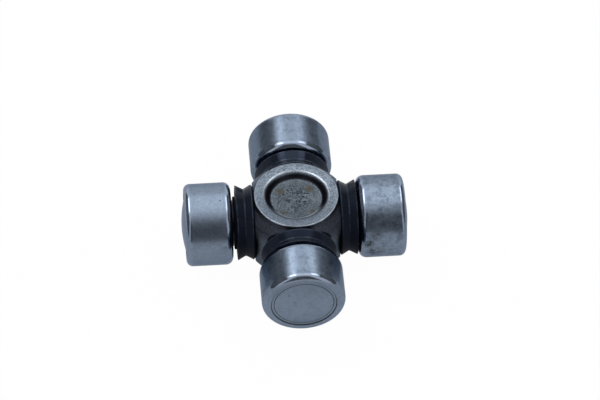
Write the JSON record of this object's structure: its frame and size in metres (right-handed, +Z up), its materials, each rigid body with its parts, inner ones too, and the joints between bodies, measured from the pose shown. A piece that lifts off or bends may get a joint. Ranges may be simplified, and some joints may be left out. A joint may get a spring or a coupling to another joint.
{
  "type": "steering universal joint",
  "caption": "Forged joint cross with a round recessed boss, closed bearing cups on its trunnions and a grooved rubber seal behind each cup, to link two steering shafts at an angle.",
  "frame": {"origin": "centre of the cross, where the axes of its trunnions meet", "axes": "+Z up through the round boss, +X along the trunnion of cup_right, +Y along the trunnion of cup_back"},
  "size_m": [0.0412, 0.0411, 0.015],
  "materials": {
    "forged_steel": "dark forged and turned steel",
    "ground_steel": "fine ground bearing steel",
    "roller_steel": "polished bearing steel",
    "washer_plastic": "plain moulded nylon",
    "seal_rubber": "smooth black oil seal rubber"
  },
  "bodies": {
    "cross": {"cross": "forged_steel", "seal_right": "seal_rubber", "seal_back": "seal_rubber", "seal_left": "seal_rubber", "seal_front": "seal_rubber"},
    "thrust_washer_right": {"thrust_washer_right": "washer_plastic"},
    "cup_right": {"cup_right": "ground_steel"},
    "needle_rollers_right": {"needle_rollers_right": "roller_steel"},
    "thrust_washer_back": {"thrust_washer_back": "washer_plastic"},
    "cup_back": {"cup_back": "ground_steel"},
    "needle_rollers_back": {"needle_rollers_back": "roller_steel"},
    "thrust_washer_left": {"thrust_washer_left": "washer_plastic"},
    "cup_left": {"cup_left": "ground_steel"},
    "needle_rollers_left": {"needle_rollers_left": "roller_steel"},
    "thrust_washer_front": {"thrust_washer_front": "washer_plastic"},
    "cup_front": {"cup_front": "ground_steel"},
    "needle_rollers_front": {"needle_rollers_front": "roller_steel"}
  },
  "joints": [
    {"name": "cup_right_slide", "type": "slide", "parent": "cross", "child": "thrust_washer_right", "axis": [1, 0, 0], "range_m": [-0.00022, 0.006]},
    {"name": "cup_right_turn", "type": "hinge", "parent": "thrust_washer_right", "child": "cup_right", "pos_m": [0, 0, 0], "axis": [1, 0, 0], "continuous": true},
    {"name": "needle_rollers_right_turn", "type": "hinge", "parent": "thrust_washer_right", "child": "needle_rollers_right", "pos_m": [0, 0, 0], "axis": [1, 0, 0], "continuous": true},
    {"name": "cup_back_slide", "type": "slide", "parent": "cross", "child": "thrust_washer_back", "axis": [0, 1, 0], "range_m": [-0.00055, 0.006]},
    {"name": "cup_back_turn", "type": "hinge", "parent": "thrust_washer_back", "child": "cup_back", "pos_m": [0, 0, 0], "axis": [0, 1, 0], "continuous": true},
    {"name": "needle_rollers_back_turn", "type": "hinge", "parent": "thrust_washer_back", "child": "needle_rollers_back", "pos_m": [0, 0, 0], "axis": [0, 1, 0], "continuous": true},
    {"name": "cup_left_slide", "type": "slide", "parent": "cross", "child": "thrust_washer_left", "axis": [-1, 0, 0], "range_m": [-0.0008, 0.006]},
    {"name": "cup_left_turn", "type": "hinge", "parent": "thrust_washer_left", "child": "cup_left", "pos_m": [0, 0, 0], "axis": [-1, 0, 0], "continuous": true},
    {"name": "needle_rollers_left_turn", "type": "hinge", "parent": "thrust_washer_left", "child": "needle_rollers_left", "pos_m": [0, 0, 0], "axis": [-1, 0, 0], "continuous": true},
    {"name": "cup_front_slide", "type": "slide", "parent": "cross", "child": "thrust_washer_front", "axis": [0, -1, 0], "range_m": [-0.0005, 0.006]},
    {"name": "cup_front_turn", "type": "hinge", "parent": "thrust_washer_front", "child": "cup_front", "pos_m": [0, 0, 0], "axis": [0, -1, 0], "continuous": true},
    {"name": "needle_rollers_front_turn", "type": "hinge", "parent": "thrust_washer_front", "child": "needle_rollers_front", "pos_m": [0, 0, 0], "axis": [0, -1, 0], "continuous": true}
  ],
  "couplings": [
    {"joint": "needle_rollers_right_turn", "follows": "cup_right_turn", "ratio": 0.5897},
    {"joint": "needle_rollers_back_turn", "follows": "cup_back_turn", "ratio": 0.5897},
    {"joint": "needle_rollers_left_turn", "follows": "cup_left_turn", "ratio": 0.5897},
    {"joint": "needle_rollers_front_turn", "follows": "cup_front_turn", "ratio": 0.5897}
  ]
}
